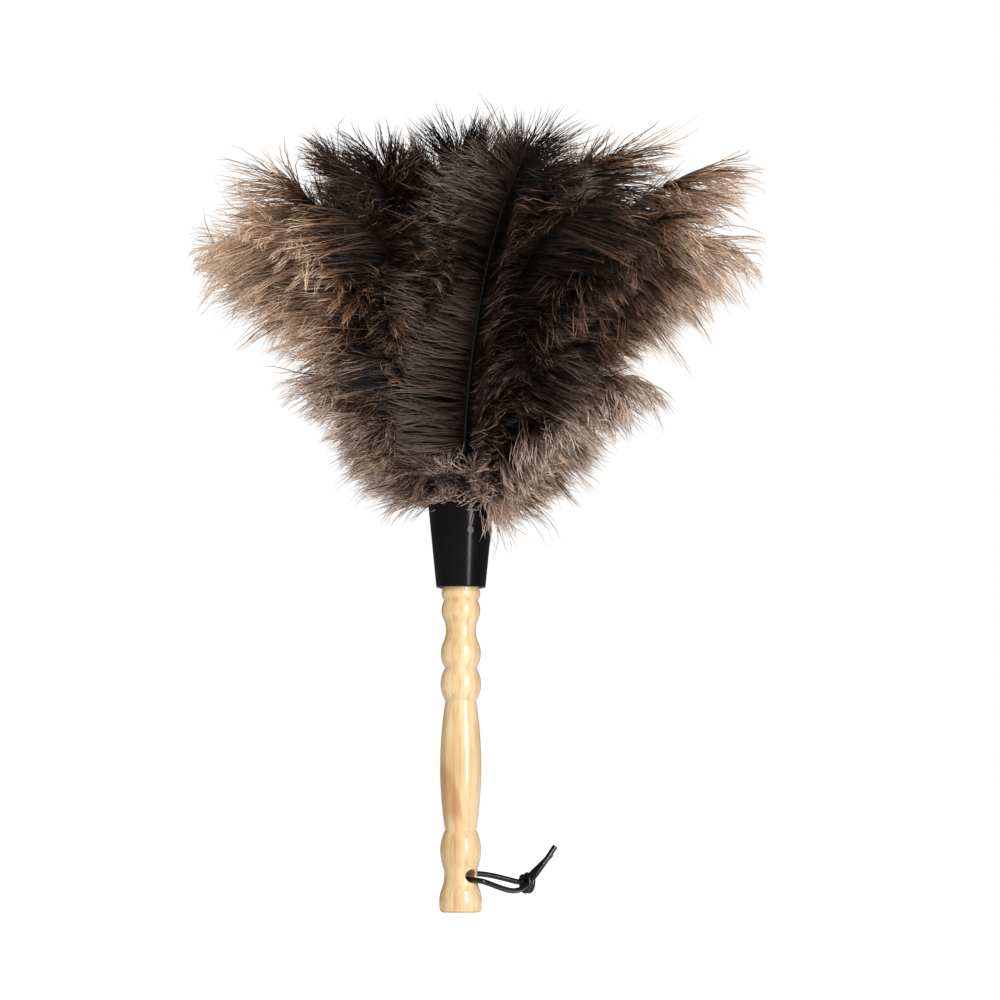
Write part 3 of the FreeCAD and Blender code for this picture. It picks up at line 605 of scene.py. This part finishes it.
def grow_barbs(rng, shaft, dress, tone_shift, lit_side_tone):
    """Centrelines of one plume's barbs, with each one's tone and its colour at each point."""
    count = dress["barbs"]
    unruly = 1 + SHAGGY_BACK * smooth(shaft.out[1] + 0.9)
    share = np.sort(rng.random(count) ** CROWDING) * (1 - dress["start"]) + dress["start"]
    first = VANE_START / shaft.bend
    angle = first + share * (shaft.reach - first) * LAST_BARB
    side = np.where(rng.random(count) < 0.5, 1.0, -1.0)
    clump = (np.arange(count) // (2 * CLUMP)) * 2 + (side > 0)
    clumps = clump.max() + 1
    odd = rng.normal(size=(clumps, 6))[clump]  # what a clump does, its barbs do together
    own = rng.normal(size=(count, 6))

    along, across, hollow = shaft.frame(angle)
    across = across * side[:, None]
    leave = np.radians(between(dress["angles"], share**1.5))
    leave = leave * np.where(share > TIP_TUFT, rng.uniform(0.1, 1.0, count), 1.0)
    leave = leave + unruly * (LEAVE_ODDS[0] * odd[:, 0] + LEAVE_ODDS[1] * own[:, 0])
    heavy = 1 + HEAVY_SIDE * smooth(shaft.out[0]) - COMBED_BACK * smooth(2 * shaft.out[1])
    heavy = heavy - COMBED_FRONT * smooth(-2 * shaft.out[1] - 0.7)
    lean = between(dress["leans"], share) * heavy * (1 + LEAN_SPREAD * odd[:, 1])
    lean = lean + unruly * (LEAN_ODDS[0] * odd[:, 2] + LEAN_ODDS[1] * own[:, 1])
    start = np.cos(leave)[:, None] * along + np.sin(leave)[:, None] * (across + lean[:, None] * hollow)
    curl = CURL_ALONG * odd[:, 2][:, None] * along + CURL_HOLLOW * odd[:, 3][:, None] * hollow
    stray = STRAY * unruly * rng.normal(size=(count, 3))
    droop = dress["droop"] * heavy * (1 + DROOP_ODDS[0] * odd[:, 4] + DROOP_ODDS[1] * own[:, 4])

    # the vane is narrower at its foot and at its tip
    swell = 0.8 + 0.2 * smooth(share / 0.4) - 0.2 * smooth((share - 0.7) / 0.3)
    length = dress["length"] * swell * (1 + LENGTH_ODDS[0] * odd[:, 5] + LENGTH_ODDS[1] * own[:, 5])
    bend = unruly * curl + stray + hollow * HOLLOW_PULL
    points = grow(shaft.place(angle), unit(start), bend, droop, length)

    # clumps draw together towards their tips
    members = np.bincount(clump, minlength=clumps)[:, None, None]
    mean = np.zeros((clumps, SEGMENTS + 1, 3))
    np.add.at(mean, clump, points)
    mean = (mean / np.maximum(members, 1))[clump]
    s = np.linspace(0, 1, SEGMENTS + 1)
    cling = dress.get("cling", CLING) * np.clip(0.75 + 0.35 * odd[:, 3], 0, 1.1)
    points += (mean - points) * (cling[:, None] * smooth((s - 0.15) / 0.85))[..., None]
    # and every barb frizzes a little
    phase = rng.random((count, 1, 3)) * 2 * math.pi
    rate = rng.uniform(0.6, 2.0, (count, 1, 3))
    points += FRIZZ * np.sin(phase + rate * 2 * math.pi * s[None, :, None]) * s[None, :, None]
    # front plumes pale less towards their tips: painted shade on the front of the head
    paling = dress.get("paling", 0.0) * (1 - SHADED_FRONT * smooth(-2 * shaft.out[1] - 0.6))
    # the side tone paints one side of the long plume lighter and the other darker: painted light and shade
    tone = MIDDLE_TONE + tone_shift + lit_side_tone * side + paling * (share - 0.5)
    tone = tone + TONE_ODDS[0] * odd[:, 0] + TONE_ODDS[1] * own[:, 0]
    # the last barbs are pale nearly from their roots, and on the long plume the barbs of its -X side start
    # paler: painted light
    first_colour = paling * smooth((share - 0.8) / 0.2) + dress.get("lit_side_paling", 0.0) * (side > 0)
    colours = between((first_colour[:, None], dress.get("palest", 1.0)), s)
    return trim(points), tone, np.clip(colours, 0, 1)


def grow_down(rng, shaft, count, wispy):
    """Short pale down at the vane's foot, which spills out over the collar's rim."""
    count = count * (2 if wispy else 1)
    angle = rng.uniform(0.0, DOWN_FOOT, count) / shaft.bend
    along, across, hollow = shaft.frame(angle)
    turn = rng.normal(0, 0.7, count)
    rise = rng.normal(0.1 if wispy else 0.5, 0.45, count)
    start = np.cos(turn)[:, None] * hollow + np.sin(turn)[:, None] * across + rise[:, None] * along
    length = rng.uniform(*DOWN_LENGTHS, count) * (WISPY_LENGTH if wispy else 1.0)
    droop = rng.uniform(-0.2, 0.7, count) + (0.7 if wispy else 0.0)
    bend = rng.normal(0, 0.9, (count, 3))
    points = grow(shaft.place(angle), unit(start), bend, droop, length)
    if not wispy:
        points[..., 2] += 0.8 * np.maximum(DOWN_LOW - points[..., 2], 0)
    colours = np.tile(np.linspace(0, 1, SEGMENTS + 1), (count, 1))
    return points, rng.normal(0.85, 0.12, count), colours


def barb_tubes(points, tone, colours, root_radius):
    """Three-sided tapering closed tubes along the barbs: vertices, triangles and UVs."""
    count, rings = points.shape[0], points.shape[1] - 1
    along = unit(np.gradient(points, axis=1))
    sideways = unit(np.cross(along, CROSS_WITH))
    third = np.cross(along, sideways)
    s = np.linspace(0, 1, rings + 1)
    radius = BARB_TIP_RADIUS + (root_radius - BARB_TIP_RADIUS) * (1 - s) ** BARB_TAPER
    vertices = np.empty((count, rings * 3 + 1, 3))
    uvs = np.empty((count, rings * 3 + 1, 2))
    for j in range(3):
        turn = j * 2 * math.pi / 3
        offset = math.cos(turn) * sideways + math.sin(turn) * third
        vertices[:, j : rings * 3 : 3] = (points + offset * radius[None, :, None])[:, :rings]
        uvs[:, j : rings * 3 : 3, 0] = colours[:, :rings]
        uvs[:, j : rings * 3 : 3, 1] = (tone + TONE_STEP * (j - 1))[:, None]
    vertices[:, -1] = points[:, -1]
    uvs[:, -1, 0] = colours[:, -1]
    uvs[:, -1, 1] = tone
    uvs[:, :, 1] = BARB_CHART + np.clip(uvs[:, :, 1], 0.005, 0.995) * (1 - BARB_CHART)
    one = [(2, 1, 0)]
    for k in range(rings - 1):
        for j in range(3):
            a, b = 3 * k + j, 3 * k + (j + 1) % 3
            one += [(a, b, b + 3), (a, b + 3, a + 3)]
    for j in range(3):
        one.append((3 * (rings - 1) + j, 3 * (rings - 1) + (j + 1) % 3, 3 * rings))
    triangles = np.array(one)[None] + (np.arange(count) * (rings * 3 + 1))[:, None, None]
    return vertices.reshape(-1, 3), triangles.reshape(-1, 3), uvs.reshape(-1, 2)


SHAFT_SIDES, SHAFT_RINGS, STRAIGHT_RINGS = 8, 36, 6
SHAFT_END = 0.97  # share of the reach, so that the last barbs cover its tip
SHAFT_END_UVS = [[0, 0.05], [1, 0.05]]


def shaft_tube(shaft, root_radius, tip_radius):
    """The plume's tapering shaft, closed at both ends."""
    low = np.linspace(shaft.foot, BEND_START, STRAIGHT_RINGS, endpoint=False)
    straight = shaft.ring_radius * shaft.out + low[:, None] * UP
    angle = np.linspace(0, shaft.reach * SHAFT_END, SHAFT_RINGS - STRAIGHT_RINGS)
    points = np.concatenate([straight, shaft.place(angle)])
    _, across, hollow = shaft.frame(np.concatenate([np.zeros(STRAIGHT_RINGS), angle]))
    share = np.concatenate([np.zeros(STRAIGHT_RINGS), np.linspace(0, 1, SHAFT_RINGS - STRAIGHT_RINGS)])
    radius = (root_radius + (tip_radius - root_radius) * share**1.2)[:, None]
    turns = np.arange(SHAFT_SIDES) * 2 * math.pi / SHAFT_SIDES
    rings = [points + radius * (math.cos(t) * across + math.sin(t) * hollow) for t in turns]
    vertices = np.stack(rings, axis=1).reshape(-1, 3)
    u = np.repeat(np.linspace(0, 1, SHAFT_RINGS), SHAFT_SIDES)
    v = np.tile(np.abs(np.arange(SHAFT_SIDES) / SHAFT_SIDES - 0.5), SHAFT_RINGS) * 2 * SHAFT_CHART
    vertices = np.concatenate([vertices, points[:1], points[-1:]])
    uvs = np.concatenate([np.stack([u, v], axis=1), SHAFT_END_UVS])
    triangles = []
    for k in range(SHAFT_RINGS - 1):
        for j in range(SHAFT_SIDES):
            a, b = k * SHAFT_SIDES + j, k * SHAFT_SIDES + (j + 1) % SHAFT_SIDES
            triangles += [(a, a + SHAFT_SIDES, b + SHAFT_SIDES), (a, b + SHAFT_SIDES, b)]
    bottom, top = SHAFT_RINGS * SHAFT_SIDES, SHAFT_RINGS * SHAFT_SIDES + 1
    last = (SHAFT_RINGS - 1) * SHAFT_SIDES
    for j in range(SHAFT_SIDES):
        ahead = (j + 1) % SHAFT_SIDES
        triangles += [(j, ahead, bottom), (last + ahead, last + j, top)]
    return vertices, np.array(triangles), uvs


def make_mesh_object(name, parts, materials):
    """One object from (vertices, triangles, uvs, material index) parts."""
    offset, vertices, triangles, uvs, indices = 0, [], [], [], []
    for part_vertices, part_triangles, part_uvs, index in parts:
        vertices.append(part_vertices)
        triangles.append(part_triangles + offset)
        uvs.append(part_uvs)
        indices.append(np.full(len(part_triangles), index))
        offset += len(part_vertices)
    vertices, triangles, uvs, indices = (np.concatenate(x) for x in (vertices, triangles, uvs, indices))
    mesh = bpy.data.meshes.new(name)
    mesh.vertices.add(len(vertices))
    mesh.vertices.foreach_set("co", vertices.astype(np.float32).ravel())
    mesh.loops.add(triangles.size)
    mesh.loops.foreach_set("vertex_index", triangles.astype(np.int32).ravel())
    mesh.polygons.add(len(triangles))
    mesh.polygons.foreach_set("loop_start", np.arange(0, triangles.size, 3, dtype=np.int32))
    mesh.polygons.foreach_set("material_index", indices.astype(np.int32))
    mesh.polygons.foreach_set("use_smooth", np.ones(len(triangles), dtype=bool))
    layer = mesh.uv_layers.new(name=UV_CHART)
    layer.data.foreach_set("uv", uvs[triangles.ravel()].astype(np.float32).ravel())
    mesh.update(calc_edges=True)
    mesh.validate()
    for material in materials:
        mesh.materials.append(material)
    return add_object(name, mesh)


def shaft_of(ring, number):
    """The shaft of one plume of a ring."""
    count, turn, parting, ring_radius, foot, bend, reach = RINGS[ring]
    if ring == "lower" and number % 2:
        bend = SHORT_BEND
    azimuth = math.radians(turn + number * (360 - parting) / count)
    share = SHAFT_SHARES[ring][0] + SHAFT_SHARES[ring][1] * math.cos(azimuth)
    reach = math.radians(reach * LENGTHS[number % len(LENGTHS)] * share)
    sway = 0.0
    if (ring, number) == FRONT_PLUME:
        reach, sway = reach * FRONT_SHARE, FRONT_SWAY
    return Shaft(azimuth, ring_radius, foot, bend, reach, sway)


def light_and_shade_towards(out):
    """How much paler or darker the plumes that point this way are painted, as painted light and shade."""
    return sum(
        change * smooth((out @ direction(azimuth) - start) / (whole - start))
        for azimuth, change, start, whole in LIGHT_AND_SHADE_TONES
    )


def make_plume(ring, number, materials):
    """One plume: its barbs, its shaft and, where its ring has it, its down."""
    node = "%s_plume_%02d" % (ring, number + 1)
    front = (ring, number) == FRONT_PLUME
    shaft = shaft_of(ring, number)
    rng = np.random.default_rng(1000 * list(RINGS).index(ring) + number)
    if front:
        dress, barb_radius = FRONT_DRESS, FRONT_BARB_RADIUS
        tube, tube_triangles, tube_uvs = shaft_tube(shaft, *FRONT_SHAFT_RADII)
        points, tone, colours = grow_barbs(rng, shaft, dress, FRONT_TONE, FRONT_LIT_SIDE_TONE)
    else:
        dress, barb_radius = DRESS[ring], BARB_RADIUS
        tube, tube_triangles, tube_uvs = shaft_tube(shaft, *SHAFT_RADII)
        # the tone shift here is painted light and shade, set by the way the plume points
        points, tone, colours = grow_barbs(rng, shaft, dress, light_and_shade_towards(shaft.out), 0.0)
        long_plume = shaft_of(*FRONT_PLUME)
        points, tube = part(points, long_plume), part(tube, long_plume)
        # painted shade: barbs in the shaded front of the head get darker colours and a darker tone
        dark = painted_shade(points)
        colours = colours * (1 - SHADE_DARKENING * dark)
        tone = tone + SHADE_TONE * dark[:, SEGMENTS // 2 :].mean(axis=1)
    parts = [(*barb_tubes(points, tone, colours, barb_radius), 0), (tube, tube_triangles, tube_uvs, 1)]
    if "down" in dress:
        down, tone, colours = grow_down(rng, shaft, dress["down"], (ring, number) in WISPY_PLUMES)
        parts.append((*barb_tubes(down, tone, colours, DOWN_RADIUS), 2))
    plume = make_mesh_object(node + "_feather", parts, materials)
    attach(plume, "duster")
    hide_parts(node)


def late(*colours):
    """Ramp stops from root to tip for a barb that pales only towards its tip."""
    return [(position, linear(*colour)) for position, colour in zip((0.0, 0.38, 0.74, 1.0), colours)]


def early(*colours):
    """The same for a barb that pales soon after its root."""
    return [(position, linear(*colour)) for position, colour in zip((0.0, 0.20, 0.50, 0.95), colours)]


# Each ring's barbs from root to tip, for its darkest and its palest clumps.
BARB_COLOURS = {
    "core": (
        late((18, 12, 9), (26, 18, 13), (38, 26, 19), (62, 43, 34)),
        early((19, 15, 13), (40, 31, 26), (86, 64, 53), (156, 125, 106)),
    ),
    "inner": (
        late((18, 12, 9), (27, 18, 13), (44, 29, 21), (94, 63, 47)),
        early((23, 18, 15), (55, 41, 34), (118, 87, 71), (212, 176, 151)),
    ),
    "middle": (
        late((18, 12, 9), (29, 19, 13), (50, 32, 22), (106, 71, 52)),
        early((27, 20, 17), (72, 51, 40), (152, 112, 87), (240, 202, 170)),
    ),
    "outer": (
        late((19, 12, 9), (32, 20, 13), (60, 38, 25), (138, 88, 58)),
        early((33, 25, 21), (96, 69, 53), (186, 142, 111), (254, 224, 194)),
    ),
    "lower": (
        late((14, 10, 9), (26, 18, 15), (60, 42, 33), (136, 97, 75)),
        early((44, 35, 30), (100, 79, 69), (178, 148, 130), (248, 224, 207)),
    ),
}

# The long front plume is greyer.
FRONT_COLOURS = (
    late((16, 12, 11), (28, 22, 18), (54, 42, 35), (100, 80, 68)),
    early((24, 20, 18), (60, 50, 44), (106, 88, 78), (186, 162, 146)),
)

# -------------------------------------------------------------------- stage

FLOOR_HALF, FLOOR_DROP, FLOOR_GLOW = 6.0, 0.0002, 0.74


def make_floor():
    """A matt white floor just under the foot, which glows for the camera only."""
    mesh = bpy.data.meshes.new("floor")
    corners = [(-1, -1), (1, -1), (1, 1), (-1, 1)]
    mesh.from_pydata([(x * FLOOR_HALF, y * FLOOR_HALF, 0) for x, y in corners], [], [(0, 1, 2, 3)])
    floor = add_object("floor", mesh)
    floor.location.z = -FLOOR_DROP
    n = Nodes("floor_white")
    white = (0.93, 0.93, 0.93, 1)
    glow = n.maths("MULTIPLY", n.add("LightPath").outputs["Is Camera Ray"], FLOOR_GLOW)
    n.put(n.shader, Base_Color=white, Roughness=0.9, Specular_IOR_Level=0.0)
    n.put(n.shader, Emission_Color=white, Emission_Strength=glow)
    mesh.materials.append(n.material)


LIT_PLACE = Vector((0, 0, 0.2))  # what the lamps are aimed at


def make_light(name, place, size, power, glossy=True):
    """A rectangular lamp that faces the object."""
    data = bpy.data.lights.new(name, "AREA")
    data.shape = "RECTANGLE"
    data.size, data.size_y = size
    data.energy = power
    light = add_object(name, data)
    light.location = place
    light.rotation_mode = "QUATERNION"
    light.rotation_quaternion = (LIT_PLACE - Vector(place)).to_track_quat("-Z", "Y")
    light.visible_glossy = glossy


ROOM_LIGHT, ROOM_REFLECTED = 0.44, 0.10  # what reflections see is dimmer: black pieces stay black
WHITE = (1, 1, 1, 1)


def make_world():
    """Soft light from all round, with a plain white backdrop."""
    world = bpy.data.worlds.new("studio")
    bpy.context.scene.world = world
    world.use_nodes = True
    nodes, links = world.node_tree.nodes, world.node_tree.links
    soft = nodes["Background"]
    soft.inputs["Color"].default_value = WHITE
    rays = nodes.new("ShaderNodeLightPath")
    strength = nodes.new("ShaderNodeMath")
    strength.operation = "MULTIPLY_ADD"
    strength.inputs[1].default_value = ROOM_REFLECTED - ROOM_LIGHT
    strength.inputs[2].default_value = ROOM_LIGHT
    links.new(rays.outputs["Is Glossy Ray"], strength.inputs[0])
    links.new(strength.outputs[0], soft.inputs["Strength"])
    backdrop = nodes.new("ShaderNodeBackground")
    backdrop.inputs["Color"].default_value = WHITE
    choose = nodes.new("ShaderNodeMixShader")
    links.new(rays.outputs["Is Camera Ray"], choose.inputs[0])
    links.new(soft.outputs[0], choose.inputs[1])
    links.new(backdrop.outputs[0], choose.inputs[2])
    links.new(choose.outputs[0], nodes["World Output"].inputs["Surface"])


# -------------------------------------------------------------------- build

leather = leather_material()
front_half = lace_half("thong_lace_front", LACE_ROUTE[MIDDLE::-1], leather)
rear_half = lace_half("thong_lace_rear", LACE_ROUTE[MIDDLE:], leather)
knot = make_knot(leather)
for lace, side in ((front_half, -1), (rear_half, 1)):
    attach(lace, "thong")
    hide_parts("hanging_thong")


def dress_node(node, material):
    for slot in NODES[node].material_slots:
        slot.material = material


dress_node("handle", wood_material())
dress_node("collar", plastic_material())
wire = wire_material()
for ring in RINGS:
    dress_node("binding_wire_" + ring, wire)
quill, down = shaft_material(), down_material()
front_barbs = barb_material("front_barbs", *FRONT_COLOURS)
for ring, colours in BARB_COLOURS.items():
    barbs = barb_material(ring + "_barbs", *colours)
    for number in range(RINGS[ring][0]):
        own = front_barbs if (ring, number) == FRONT_PLUME else barbs
        make_plume(ring, number, [own, quill, down])

make_floor()
make_world()
make_light("key", (-0.7, -1.3, 1.0), (0.9, 0.9), 12.5, glossy=False)
make_light("window", (0.80, -1.1, 0.35), (0.14, 0.7), 14.0)
bpy.context.scene.view_settings.view_transform = "Standard"
